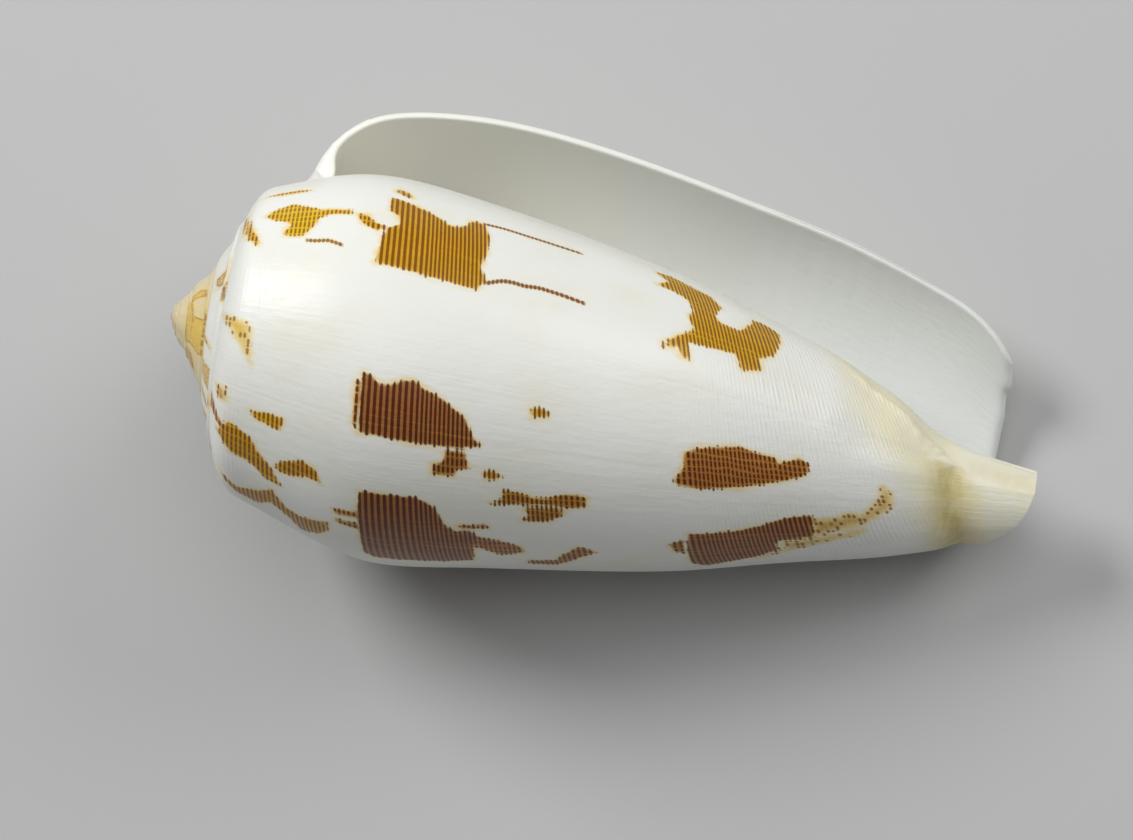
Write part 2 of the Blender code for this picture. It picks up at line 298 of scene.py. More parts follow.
def mottle(across, down, seed):  # the same over two directions
    table = np.random.default_rng(seed).uniform(-1, 1, (211, 211))
    i = np.floor(across).astype(int)
    j = np.floor(down).astype(int)
    u = ease(across - i)
    v = ease(down - j)
    near = table[i % 211, j % 211] * (1 - u) + table[(i + 1) % 211, j % 211] * u
    far = table[i % 211, (j + 1) % 211] * (1 - u) + table[(i + 1) % 211, (j + 1) % 211] * u
    return near * (1 - v) + far * v


# Low relief, in millimetres, all of it cut in. The smooth surface still passes the faceted solid
# by up to 0.22 mm in places, and stays inside its box.
relief = {
    "growthDepth": 0.035,
    "growthDegrees": (6.1, 2.9),  # between wide growth lines, and between narrow ones
    "lumpDepth": 0.10,
    "lumpSize": (21, 11),  # degrees round, millimetres along
    "sutureDepth": 0.16,
    "sutureStations": 0.016,
    "ridgeDegrees": (-12, 37, 48, 67, 81, 100, 133, 154, 200),  # rough cord along the old front notches
    "ridgeAlong": (62.0, 72.0, 76.5, 79.8, 81.7, 82.6, 83.3, 84.3, 86.0),
    "ridgeHeight": 0.45,
    "ridgeReach": 1.5,
    "ridgeBead": (5, 0.9),
    "frontStart": (68, 6),  # along the axis, and over how many millimetres it comes in
    "ridgeEnd": (78, 20),  # degrees where the ridge turns into a groove, and over how many
    "grooveEnd": (195, 25),
    "grooveDepth": 0.45,
    "edgeRound": 0.30,
    "marginRound": 0.12,  # on the half turn before the lip's
}


def crestAlong(degrees):
    return np.interp(degrees, relief["ridgeDegrees"], relief["ridgeAlong"])


def outerRelief(degrees, stations, along):  # how far the outer surface is cut in
    wide, narrow = relief["growthDegrees"]
    growth = waver(degrees / wide + 0.3 * waver(along / 9, 3), 5) + 0.6 * waver(degrees / narrow, 6)
    cut = relief["growthDepth"] * (0.5 + 0.31 * growth)
    around, deep = relief["lumpSize"]
    cut = cut + relief["lumpDepth"] * (0.5 + 0.5 * mottle(degrees / around, along / deep, 8))
    cut = cut + relief["sutureDepth"] * np.exp(-((stations / relief["sutureStations"]) ** 2))
    onCrest = np.exp(-(((along - crestAlong(degrees)) / relief["ridgeReach"]) ** 2))
    around, deep = relief["ridgeBead"]
    beaded = onCrest * (1 + 0.35 * mottle(degrees / around, along / deep, 21))
    bend = runIn(degrees, relief["ridgeEnd"])
    late = (1 - runIn(degrees, relief["grooveEnd"])) * (degrees > winding["marginDegrees"][1])
    front = runIn(along, relief["frontStart"]) * late
    cut = cut + relief["ridgeHeight"] * (1 - bend) * front * (0.9 - 0.6 * beaded)
    return cut + relief["grooveDepth"] * bend * late * onCrest


# The free edges aren't quite even: degrees cut off the lip at stations down the profile, below 0
# where it is drawn out instead, and millimetres cut off the front margin at degrees round the axis
edges = {
    "lipStations": (0, 0.25, 0.3, 0.41, 0.5, 0.58, 0.7, 0.78, 0.86, 0.91, 0.955, 0.972, 0.984, 0.993, 1),
    "lipTrim": (0, 0, 0.1, 0, 0.15, 0.05, 0.2, 0.05, 0.1, -0.5, -1.3, -0.9, 0.2, 2.2, 5.4),
    "marginDegrees": (200, 262, 280, 292, 302, 308, 312, 316, 320, 323, 326, 330, 334, 338, 343, 348),
    "marginTrim": (0, 0, 0.15, 0.12, 0.1, 0.05, 0.15, 0.3, 0.42, 0.45, 0.25, 0.0, 0.1, 0.3, 0.5, 0.7),
    "reachTurns": 0.035,
    "reachStations": 0.05,
    "profileLength": 92,
}


def slide(points, params, wanted):  # points moved along their own lines to the wanted parameters
    cell = np.clip(np.searchsorted(params, wanted, side="right") - 1, 0, len(params) - 2)
    part = (wanted - params[cell]) / (params[cell + 1] - params[cell])
    lines = np.arange(points.shape[1])[None, :]
    start = points[cell, lines]
    return start + part[..., None] * (points[cell + 1, lines] - start)


def trimEdges(points, turns, stations, outerStations):  # the grid drawn back from its uneven free edges
    back = np.interp(outerStations, edges["lipStations"], edges["lipTrim"]) / 360
    near = 1 - ease((lipTurn - turns) / edges["reachTurns"])
    movedTurns = turns[:, None] - back[None, :] * near[:, None]
    trim = np.interp(turns * 360, edges["marginDegrees"], edges["marginTrim"]) / edges["profileLength"]
    beside = 1 - ease((1 - stations) / edges["reachStations"])
    movedStations = stations[None, :] - (trim * (turns > 0.5))[:, None] * beside[None, :]
    moved = slide(points, turns, movedTurns)
    moved = slide(moved.transpose(1, 0, 2), stations, movedStations.T).transpose(1, 0, 2)
    return moved, movedTurns * 360


def edgeRounding(points, turns):  # how far points beside a free edge are cut in
    fromLip = np.linalg.norm(points - points[-1:], axis=-1) + (turns < 0.8)[:, None]
    fromMargin = np.linalg.norm(points - points[:, -1:], axis=-1)
    size = relief["edgeRound"]
    least = relief["marginRound"]
    marginSize = (least + (size - least) * ease((turns - 0.5) / 0.1))[:, None]
    lip = size - np.sqrt(size**2 - np.clip(size - fromLip, 0, size) ** 2)
    margin = marginSize - np.sqrt(marginSize**2 - np.clip(marginSize - fromMargin, 0, marginSize) ** 2)
    return np.maximum(lip, margin)


# Blotches on the last whorl. Each has a tone from 0, yellow, to 1, dark brown, then dots from 0,
# whole lines, to 1, rows of dots, and on to 1.5, few dots, and the corners of its outline: thread
# place, degrees round.
blotches = {
    "upperBlock": (0.42, 0.0, (
        (23.4, 33.5), (25, 35), (27, 37), (28.8, 39.5), (29.6, 41.5), (30.6, 41.5), (31.8, 39),
        (32.2, 36.3), (33.6, 34.7), (34.2, 42), (33.8, 50), (33.2, 55.5), (33.8, 60), (32.8, 64),
        (29, 63.8), (22.3, 62.8), (22.6, 57), (23.2, 49.5), (24.5, 47), (24.5, 43.5), (23.3, 41.2))),
    "upperCrumbs": (0.42, 0.6, ((23.7, 29.3), (24.3, 27), (25.8, 30), (25.5, 32))),
    "upperTail": (0.35, 1.0, ((19.8, 44.6), (21, 45), (22, 48.2), (23, 49), (22.2, 51.2), (20.6, 49))),
    "wing": (0.0, 0.85, (
        (10, 43.5), (11.3, 39.5), (12.7, 37.5), (14.3, 40), (16, 42.5), (19.2, 42.8), (19.2, 44.8),
        (16.8, 45.2), (15.8, 47), (15.3, 51), (14.2, 54.6), (12.2, 53.8), (12.4, 51.4), (13.1, 49.6),
        (12.6, 47.8), (10.7, 45.8))),
    "sutureSpot": (0.3, 1.0, ((7.4, 32), (8.6, 48), (9.9, 57), (9.7, 58.6), (8.7, 55), (7.9, 48.4))),
    "rimTrace": (0.1, 1.0, ((9.2, 28.3), (11, 26.8), (13, 26.6), (14.8, 28.8), (12, 29))),
    "shoulderTriangle": (0.12, 1.25, ((6.8, 86.2), (10.3, 88), (10.9, 102.4), (10.1, 98.7), (8.9, 93.5))),
    "shoulderMarks": (0.6, 1.1, ((7.4, 114.6), (8.5, 112.3), (8.6, 117), (7.7, 118.8))),
    "midBlock": (1.0, 0.0, (
        (22.1, 95.6), (22.9, 96), (23.9, 98), (24.9, 97.6), (26.2, 95.6), (27.3, 95.3), (28.2, 97),
        (30, 98.8), (31.2, 101.4), (32.2, 103), (32.8, 107.6), (33.8, 111.2), (32.4, 112), (29.8, 112.9),
        (22, 112.5))),
    "midStub": (0.95, 0.75, (
        (30.4, 113.8), (32.3, 113.4), (32.6, 118.8), (31.4, 119.8), (31.3, 121.8), (29.1, 121.8),
        (29.2, 119), (30.2, 117.4))),
    "midEdge": (0.8, 1.0, ((21.5, 98), (21.9, 98), (21.9, 111), (21.4, 111))),
    "rightDab": (0.55, 0.4, ((38.6, 97.4), (39.6, 96), (40.5, 97.6), (40.3, 98.8), (38.7, 99.2))),
    "lowerDab": (0.55, 0.4, ((34, 119.4), (34.8, 118.4), (35.7, 120.2), (35.1, 121.4), (34, 121.3))),
    "lowBlock": (1.0, 0.05, (
        (22.3, 131.3), (27.5, 130.6), (28.6, 132.2), (29.4, 134.5), (30.3, 142), (31.2, 143.8),
        (32.6, 143.5), (33.2, 147), (32.6, 151), (32.2, 163), (29.5, 165), (23.1, 165), (22.1, 162.5),
        (22, 138))),
    "lowTrail": (0.85, 1.0, ((33, 146), (35.2, 148), (37, 150.4), (37.2, 154.5), (35, 157), (32.8, 152))),
    "lowTailOne": (0.75, 1.0, ((19.7, 141), (22.1, 139.6), (22.1, 142.2), (19.7, 143))),
    "lowTailTwo": (0.75, 1.0, ((19.8, 145.2), (21.9, 144.6), (21.9, 147.2), (19.9, 147.3))),
    "lowWhisker": (0.85, 1.0, ((31.4, 141), (34.2, 139.4), (34.2, 141.2), (31.5, 142.9))),
    "ribbonTop": (0.75, 0.7, (
        (36, 124.8), (37.1, 125.2), (38.9, 126.8), (40.2, 126.2), (41.5, 124.3), (43.2, 123.9), (43.9, 125),
        (43.7, 128), (42.4, 129.4), (39.9, 129), (37.5, 129.6), (34.8, 130.6), (35.7, 128.2))),
    "ribbonLow": (0.75, 0.8, (
        (37.7, 130.8), (41.4, 130.2), (41.4, 133.4), (39.4, 136.5), (37.2, 136.8), (38.3, 134))),
    "ribbonFoot": (0.8, 0.8, (
        (37.4, 161.2), (40, 160.2), (40.7, 155.5), (42.7, 148.3), (44, 152.2), (42.1, 157.5), (39.8, 165),
        (37.2, 165))),
    "rightBlock": (0.88, 0.85, (
        (53.8, 103), (55.2, 100.6), (57, 99.2), (59.6, 97.2), (61, 98.8), (63, 99.6), (63.4, 102),
        (64.8, 99.8), (65.7, 98.4), (66.4, 100), (66.4, 104), (65.5, 107.3), (63.5, 110.2), (61.6, 112.4),
        (59.1, 114.6), (55.3, 116.8), (52.6, 115.7), (52.7, 113.3), (53.6, 109))),
    "lowRightBlock": (0.95, 0.15, (
        (53.3, 139), (56.3, 138.5), (58.4, 137), (60.5, 134.6), (62.1, 131.6), (63.7, 129.2), (65.8, 127.8),
        (65.5, 137), (65.4, 142.4), (62.8, 145), (61.9, 145), (61.3, 148.5), (61.6, 153), (60, 157),
        (58.8, 160), (56.3, 163), (54, 167), (52.8, 162), (52.9, 149.5))),
    "lowRightNose": (0.8, 1.0, ((51.2, 145.4), (52.8, 142.2), (52.5, 151.4), (51.7, 150.2))),
    "lowRightTail": (0.5, 1.3, (
        (65.6, 131), (68.5, 128.2), (69.6, 125.6), (70.6, 127), (72.5, 119.5), (73.9, 107), (74.6, 112),
        (74, 122), (70.6, 133), (68.1, 137.4), (65.1, 143.4))),
    "lowRightGlow": (0.5, 1.35, (
        (62.3, 146.5), (66, 143), (69, 139.5), (70.5, 137), (70, 141), (66, 148), (62, 156), (58.5, 163),
        (60.3, 158), (62, 154))),
    "diagonal": (0.4, 0.75, (
        (7.8, 132), (8.5, 127.6), (9, 124.5), (10, 125.4), (11.4, 127.6), (11.8, 130.6), (13.4, 135.5),
        (14.4, 141.8), (12.8, 141.7), (11.3, 137.4), (9.4, 137.4), (8.5, 134))),
    "diagonalRoot": (0.8, 0.5, (
        (6.2, 122), (6.9, 121.5), (7.6, 125), (9.6, 129.5), (9, 130.5), (7.2, 127.5), (6.3, 128))),
    "diagonalBranch": (0.5, 0.75, (
        (13.8, 134.5), (14.6, 130.8), (16.6, 127.5), (18, 128.8), (18.4, 132.8), (16.8, 132.8), (15.4, 135),
        (14.4, 135.4))),
    "diagonalDab": (0.3, 0.7, ((11.3, 117.2), (12.9, 115.8), (14.6, 116), (14.2, 120.2), (11.6, 119.2))),
    "lowRim": (0.5, 0.7, (
        (7.8, 152.5), (9.7, 157), (11.8, 151.6), (13.4, 146), (14.6, 152.3), (16.2, 153.6), (19, 149),
        (18.8, 154), (17.8, 159.5), (15.8, 165.4), (14.9, 159), (13.2, 154.2), (11.6, 161.6),
        (9.5, 162.5))),
    "figure": (0.3, 0.35, (
        (53.2, 24.8), (55.4, 23), (57.2, 25.2), (59.5, 26.6), (60.3, 33), (59.1, 41), (59.4, 44),
        (61.6, 44.6), (63, 38), (64.3, 30.2), (65.6, 29.2), (67, 31.7), (66.6, 38.5), (65.2, 50),
        (63.1, 56), (63.2, 61.5), (60.8, 64.8), (60.6, 58), (57, 59.7), (55.2, 60.2), (55.2, 67.4),
        (54.2, 67.4), (54.2, 63.4), (52.2, 65.6), (53, 62.2), (55.4, 55.8), (56.3, 53), (55.8, 48.2),
        (56.6, 43.7), (56.4, 38.2), (55.3, 35.6), (52.8, 35.2), (54.5, 29.7))),
    # On the sides that the photo hides
    "backOne": (0.9, 0.05, (
        (22, 196), (26.5, 193), (31, 197), (34.5, 196), (34, 206), (36, 214), (33, 221), (29, 219),
        (27.4, 226), (22.2, 224), (22.4, 210))),
    "backTwo": (0.75, 0.3, (
        (23, 244), (27, 241), (31, 247), (33.5, 252), (31, 261), (26.5, 258), (22.4, 262), (22, 252))),
    "backThree": (0.6, 0.1, (
        (24, 292), (29, 287), (33.8, 291), (35, 303), (32, 313), (27, 309), (22.3, 315), (22.3, 300))),
    "backFour": (0.9, 0.3, (
        (53, 188), (58, 184), (63, 187), (67, 184), (65.5, 196), (62.5, 205), (57.5, 203), (54.2, 210),
        (52.8, 199))),
    "backFive": (0.6, 0.35, (
        (53.4, 236), (58, 231), (61.5, 236), (66, 235), (64, 247), (58.6, 252), (54.8, 249), (52.9, 255))),
    "backSix": (0.35, 0.3, (
        (53, 288), (57, 283), (61, 290), (65, 288), (66, 301), (60, 308), (56, 303), (52.8, 309))),
    "backSeven": (0.5, 0.7, (
        (9, 196), (12, 190), (15, 196), (18.4, 199), (15, 208), (11, 204), (8.4, 209))),
    "backEight": (0.4, 0.8, ((8.4, 262), (11.6, 256), (14, 264), (17, 268), (13.6, 277), (9.6, 274))),
    "backNine": (0.6, 0.8, ((40, 205), (43, 199), (46, 204), (43, 213), (40.4, 214))),
    "backTen": (0.5, 0.8, ((39, 268), (42, 262), (45, 270), (42, 279))),
}
# Marks on the spire, the same but for their corners: share of the way out from the suture, and
# degrees round, below 0 on the older whorls
spireMarks = {
    "lattice": (0.8, 0.5, ((0.3, -302), (0.35, -293), (0.95, -293), (0.9, -303))),
    "sutureShade": (0.8, 0.0, ((0.94, -291), (0.9, -281), (1, -281), (1, -291))),
    # The next two darken a thin line along the sutures; along the last suture it is painted shade in the
    # gap between the whorls
    "oldSuture": (0.9, 0.0, ((-0.1, -320), (0.06, -300), (0.08, -250), (0.06, -215), (-0.1, -190))),
    "lastSuturePaintedShade": (0.7, 0.0, ((-0.1, 20), (0.03, 50), (0.04, 100), (0.03, 140), (-0.1, 160))),
    "smallBar": (0.95, 0.2, ((0, -261), (0.1, -257), (0.5, -253), (0.3, -257.5))),
    "bars": (0.6, 0.2, ((0.1, -243), (0.8, -243), (0.98, -228), (0.2, -230))),
    "barFoot": (0.8, 0.3, ((0.1, -224), (0.2, -218), (0.6, -214), (0.4, -220))),
    "rimBrown": (0.9, 0.2, ((0.1, -200), (0.4, -206), (1, -192), (1, -176), (0.5, -180))),
    "ringOuter": (0.15, 0.3, ((0.8, -1014), (1, -1020), (1, -948), (0.86, -956), (0.72, -985))),
    "ringTop": (0.3, 0.4, (
        (0.05, -664), (0.4, -671), (0.65, -664), (0.62, -655), (0.35, -658), (0.1, -652))),
    "ringLeft": (0.15, 0.3, ((0, -664), (0.16, -655), (0.3, -640), (0.3, -620), (0.3, -600), (0, -590))),
    "ringRight": (0.3, 0.4, (
        (0.66, -660), (0.85, -648), (1, -634), (1, -600), (0.85, -600), (0.8, -622), (0.76, -642))),
    "ringFoot": (0.1, 0.3, ((0.25, -634), (0.8, -630), (0.95, -606), (0.6, -594), (0.2, -600))),
    "lowBrown": (0.8, 0.2, ((0, -590), (0.35, -588), (0.45, -568), (0, -566))),
    "backRimOne": (0.7, 0.3, ((0.2, -150), (0.2, -134), (0.95, -128), (0.9, -146))),
    "backRimTwo": (0.4, 0.3, ((0.1, -72), (0.3, -54), (0.95, -50), (0.8, -66))),
    "backRimThree": (0.4, 0.3, ((0.1, -490), (0.2, -462), (0.9, -450), (0.95, -484))),
    "backRimFour": (0.6, 0.3, ((0.1, 204), (0.2, 219), (0.95, 226), (0.9, 208))),
    "backRimFive": (0.5, 0.4, ((0.1, 268), (0.3, 281), (0.9, 288), (0.7, 270))),
}
marking = {
    "clear": (-4.0, 0.5, 0.5),  # reach, tone and dots where no blotch is near
    "bodyDegree": 0.385,  # millimetres in a degree at the shoulder, less by bodyTaper a millimetre along
    "bodyTaper": 0.0021,
    "rampWidth": 0.45,  # the spire's ramp and a degree of it, for each millimetre of its radius
    "rampDegree": 0.0174,
    "streakDegree": 0.3,
    "streakEnd": 0.4,
    "streakReach": 1.8,
}
# Thin beaded lines that trail from a blotch: thread places, degrees there, thickness
streaks = {
    "dash": ((14.6, 15.8, 17.2, 19.0), (56.4, 56.7, 56.5, 58.4), 0.22),
    "upper": ((33.5, 35.8, 39, 42.3, 45), (35.2, 34.2, 34.0, 33.5, 33.0), 0.21),
    "lower": ((33.5, 35.5, 36.6, 37.9, 39.5, 41.9, 44.7), (61.4, 58.4, 57.8, 57.9, 56.9, 57.0, 57.7), 0.24),
}


def outlineReach(across, degrees, outline, acrossScale, degreeScale):  # mm inside it, below 0 outside
    scale = np.array((acrossScale, degreeScale))
    corners = np.array(outline, float) * scale
    spots = np.stack([across, degrees], -1) * scale
    margin = 3
    low = corners.min(0) - margin
    high = corners.max(0) + margin
    near = ((spots > low) & (spots < high)).all(-1)
    reach = np.full(across.shape, -9.0)
    spot = spots[near]
    nearest = np.full(len(spot), 9.0)
    inside = np.zeros(len(spot), bool)
    for start, end in zip(corners, np.roll(corners, -1, axis=0)):
        side = end - start
        share = np.clip(((spot - start) @ side) / (side @ side), 0, 1)
        nearest = np.minimum(nearest, np.linalg.norm(spot - start - share[:, None] * side, axis=1))
        crosses = (start[1] > spot[:, 1]) != (end[1] > spot[:, 1])
        drop = side[1] if side[1] else 1
        inside ^= crosses & (spot[:, 0] < start[0] + (spot[:, 1] - start[1]) / drop * side[0])
    reach[near] = np.where(inside, nearest, -nearest)
    return reach


def stainFields(degrees, stations, along):  # how the blotches and streaks lie at each point
    place = threadAt(along, degrees)
    stain = np.zeros(place.shape + (3,)) + marking["clear"]
    found = []
    for tone, dots, outline in blotches.values():
        middle = np.mean([corner[0] for corner in outline])
        degree = marking["bodyDegree"] - marking["bodyTaper"] * middle
        found.append((tone, dots, outlineReach(place, degrees, outline, 1, degree)))
    share = np.broadcast_to(stations / sutureStation, place.shape)
    for tone, dots, outline in spireMarks.values():
        radius = float(sutureAt(np.array([outline[0][1] / 360 + 0.5]))[1][0])
        width = radius * marking["rampWidth"]
        degree = radius * marking["rampDegree"]
        found.append((tone, dots, outlineReach(share, degrees, outline, width, degree)))
    for tone, dots, reach in found:
        closer = reach > stain[..., 0]
        stain[closer] = np.stack([reach, np.full_like(reach, tone), np.full_like(reach, dots)], -1)[closer]
    streak = np.zeros(place.shape + (3,))
    for places, height, thickness in streaks.values():
        aside = (degrees - np.interp(place, places, height)) * marking["streakDegree"]
        ends = ease(np.minimum(place - places[0], places[-1] - place) / marking["streakEnd"])
        close = (ends > 0) & (abs(aside) < marking["streakReach"])
        streak[close] = np.stack([aside, ends, np.full_like(aside, thickness)], -1)[close]
    return place, stain, streak


# Where the white turns cream, and where olive shows, along the axis at degrees round it
tints = {
    "creamDegrees": (0, 60, 75, 90, 109, 132, 200),
    "creamAlong": (66, 70.4, 72.9, 75.5, 77.7, 80.1, 84),
    "bulgeDegrees": (60, 84, 98, 113, 133, 152, 200),
    "bulgeAlong": (82.4, 83.9, 84.8, 85.6, 86.3, 87.3, 89),
    "creamRun": (-2.5, 6),  # from this far past the line, and over how many millimetres
    "bulgeRun": (-0.6, 1.5),
    "bulgeLoss": 0.4,
    "oliveReach": 2.3,
    "oliveStart": (76, 14),  # degrees round, and over how many
    "oliveEnd": 215,
    "creamEnd": (250, 60),
    "oliveBand": ((84.6, 70), (87.3, 65), (90.8, 62), (91.6, 94), (90.6, 96), (87.5, 90), (84.7, 83)),
}


def tintField(degrees, along, inside):
    creamLine = np.interp(degrees, tints["creamDegrees"], tints["creamAlong"])
    bulgeLine = np.interp(degrees, tints["bulgeDegrees"], tints["bulgeAlong"])
    cream = runIn(along - creamLine, tints["creamRun"])
    bulge = runIn(along - bulgeLine, tints["bulgeRun"])
    olive = np.exp(-(((along - crestAlong(degrees) + 0.1) / tints["oliveReach"]) ** 2))
    olive *= runIn(degrees, tints["oliveStart"]) * (degrees < tints["oliveEnd"])
    band = outlineReach(along, degrees, tints["oliveBand"], 1, 0.08)
    olive = np.maximum(olive, 0.35 * ease(band / 2.6 + 0.6))
    late = (degrees > winding["marginDegrees"][1]) * (1 - runIn(degrees, tints["creamEnd"]))
    kind = np.full(along.shape, float(inside))
    return np.stack([cream * (1 - tints["bulgeLoss"] * bulge) * late, olive * late, kind], -1)


print("shell: dimensions ready")


def whorlColumns():
    regular = np.arange(1, meshing["columns"] + 1) / meshing["columns"]
    count = meshing["lipColumns"]
    close = 1 - (np.arange(1, count + 1) / (count + 1)) ** 2 / meshing["columns"]
    return np.sort(np.concatenate([regular, close]))


def bodyStations():
    front = meshing["frontStation"]
    mid = np.linspace(sutureStation, front, meshing["midRows"] + 1)
    nearest = int(np.argmin(abs(mid - wallStation)))
    mid[nearest] = wallStation
    close = 1 - 0.004 * (np.arange(4) / 4) ** 2
    fine = np.linspace(front, meshing["marginStation"], meshing["frontRows"] - 3)[1:]
    return np.concatenate([mid, fine, close[::-1]]), nearest


def patchFields(count, degrees, along, stain, streak, inside):  # what the finish reads at each point
    return {
        "threadPlace": np.stack([count, degrees, along], -1),
        "stain": stain,
        "streak": streak,
        "tint": tintField(degrees, along, inside),
    }


def outerPatch(turns, stations):  # points with their relief, and their fields
    points, degrees = trimEdges(outerSurface(turns, stations), turns, stations, stations)
    along = points[..., 0]
    fade = np.where(stations > sutureStation, ease((turns - mouthTurn) / 0.03)[:, None], 1)
    cut = outerRelief(degrees, stations, along) * fade
    cut = np.maximum(cut, edgeRounding(points, turns)) if stations[-1] == 1 else cut
    place, stain, streak = stainFields(degrees, stations, along)
    fields = patchFields(threadCount(place), degrees, along, stain, streak, 0)
    return points - cut[..., None] * outwardNormals(turns, stations), fields


def hollowPatch(points, turns, stations, rounding):
    degrees = np.broadcast_to(turns[:, None] * 360, points.shape[:2])
    along = points[..., 0]
    empty = np.zeros(points.shape)
    count = np.broadcast_to(stations[None, :] * 60, along.shape)
    return points + rounding, patchFields(count, degrees, along, empty + marking["clear"], empty, 1)


def shellForm():  # every patch's points, the faces between them, and the fields
    offsets = whorlColumns()
    perTurn = len(offsets)
    turns = np.concatenate([mouthTurn - whorl + offsets for whorl in (5, 4, 3, 2, 1, 0)])
    turns = turns[turns >= winding["apexTurn"]]
    lateFirst = len(turns) - 1 - perTurn
    lateTurns = turns[lateFirst:]
    share = np.linspace(0, 1, meshing["rampRows"] + 1)
    rampStations = (share - 0.09 * np.sin(share * fullTurn)) * sutureStation
    stations, wallRow = bodyStations()
    fromLip = np.linspace(1, 0, meshing["hollowColumns"] + 1) ** meshing["hollowGrowth"]
    fromLip = np.sort(np.append(fromLip, meshing["lipRoundTurns"]))[::-1]
    hollowTurns = lipTurn - (lipTurn - cavityEndTurn) * fromLip
    fromWall = np.linspace(0, 1, meshing["hollowRows"] + 1)
    hollowStations = wallStation + (1 - wallStation) * (fromWall + 0.06 * np.sin(fromWall * math.pi))
    inner, core = hollowWalls(hollowTurns, hollowStations)
    innerStations = innerStationsFor(hollowStations)
    inner, innerDegrees = trimEdges(inner, hollowTurns, hollowStations, innerStations)
    rounding = edgeRounding(inner, hollowTurns)[..., None] * outwardNormals(hollowTurns, innerStations)
    rounding[0] = 0
    patches = [
        outerPatch(turns, rampStations),
        outerPatch(lateTurns, stations),
        hollowPatch(inner, hollowTurns, hollowStations, rounding),
        hollowPatch(core[:-1], hollowTurns[:-1], hollowStations, 0),
    ]
    grids = []
    total = 0
    for points, fields in patches:
        size = points.shape[0] * points.shape[1]
        grids.append(np.arange(total, total + size).reshape(points.shape[:2]))
        total += size
    rampIds, bodyIds, innerIds, coreIds = grids
    points = np.concatenate([patch[0].reshape(-1, 3) for patch in patches])
    names = patches[0][1]
    fields = {name: np.concatenate([patch[1][name].reshape(-1, 3) for patch in patches]) for name in names}

    # Patches share the points of their common edges
    same = np.arange(total)
    same[rampIds[: len(turns) - perTurn, -1]] = rampIds[perTurn:, 0]
    same[bodyIds[:, 0]] = rampIds[lateFirst:, -1]
    same[innerIds[:-1, 0]] = coreIds[:, 0]
    same[innerIds[-1, 0]] = bodyIds[0, wallRow]
    same[coreIds[0, -1]] = innerIds[0, -1]
    for repeat in range(3):
        same = same[same]

    faces = []
    for grid in grids:
        faces += gridFaces(grid)
    faces += gridFaces(np.stack([innerIds[0], coreIds[0]]))  # closed end of the hollow
    faces += zipFaces(list(coreIds[-1]), list(bodyIds[0, wallRow:]), points)  # core runs out into the body
    lipInside = list(bodyIds[0, : wallRow + 1]) + list(innerIds[-1, 1:])
    lipOutside = list(rampIds[-1, :-1]) + list(bodyIds[-1])
    faces += zipFaces(lipOutside, lipInside, points)
    split = int(np.argmin(abs(lateTurns - cavityEndTurn)))
    faces += zipFaces(list(bodyIds[split:, -1]), list(innerIds[:, -1]), points)  # front edge of the lip
    tipInside = [bodyIds[0, -1]] + list(coreIds[::-1, -1])
    faces += zipFaces(list(bodyIds[: split + 1, -1]), tipInside, points)  # rim of the tip

    # The apex is a small dome over the first turn of the suture
    ring = list(rampIds[: perTurn + 1, 0]) + list(rampIds[0, -2::-1])
    centre = points[ring].mean(0)
    centre[0] = points[ring][:, 0].min() - 0.06
    faces += [[ring[i], ring[i + 1], total] for i in range(len(ring) - 1)]
    points = np.vstack([points, centre])
    fields = {name: np.vstack([values, values[ring[0]]]) for name, values in fields.items()}
    return points, np.append(same, total), faces, fields


def gridFaces(grid):
    corners = (grid[:-1, :-1], grid[1:, :-1], grid[1:, 1:], grid[:-1, 1:])
    return np.stack(corners, -1).reshape(-1, 4).tolist()


def zipFaces(first, second, points):  # triangles between two runs that may differ in number
    reach = []
    for run in (first, second):
        steps = np.linalg.norm(np.diff(points[run], axis=0), axis=1)
        reach.append(np.append(0, np.cumsum(steps)) / steps.sum())
    i = 0
    j = 0
    faces = []
    while i < len(first) - 1 or j < len(second) - 1:
        onFirst = j == len(second) - 1
        if not onFirst and i < len(first) - 1:
            onFirst = reach[0][i + 1] <= reach[1][j + 1]
        if onFirst:
            faces.append([first[i], first[i + 1], second[j]])
            i += 1
        else:
            faces.append([first[i], second[j + 1], second[j]])
            j += 1
    return faces


def buildShell():
    points, same, faces, fields = shellForm()
    used = np.unique(same)
    newIds = np.zeros(len(points), int)
    newIds[used] = np.arange(len(used))
    place = np.array(restMatrix())
    world = points[used] @ place[:3, :3].T + place[:3, 3]
    kept = []
    corners = []
    for face in faces:
        ids = []
        sources = []
        for index in face:
            welded = int(newIds[same[index]])
            if welded not in ids:
                ids.append(welded)
                sources.append(index)
        if len(ids) > 2:
            kept.append(ids)
            corners += sources
    mesh = bpy.data.meshes.new("shellSurface")
    mesh.from_pydata(world.tolist(), [], kept)
    for name, values in fields.items():
        layer = mesh.attributes.new(name, "FLOAT_VECTOR", "CORNER")
        layer.data.foreach_set("vector", values[corners].astype(np.float32).ravel())
    form = bmesh.new()
    form.from_mesh(mesh)
    bmesh.ops.recalc_face_normals(form, faces=form.faces)
    form.to_mesh(mesh)
    print("shell: open edges", sum(len(edge.link_faces) != 2 for edge in form.edges))
    form.free()
    mesh.shade_smooth()
    shell = bpy.data.objects.new("coneShell", mesh)
    scene.collection.objects.link(shell)
    return shell


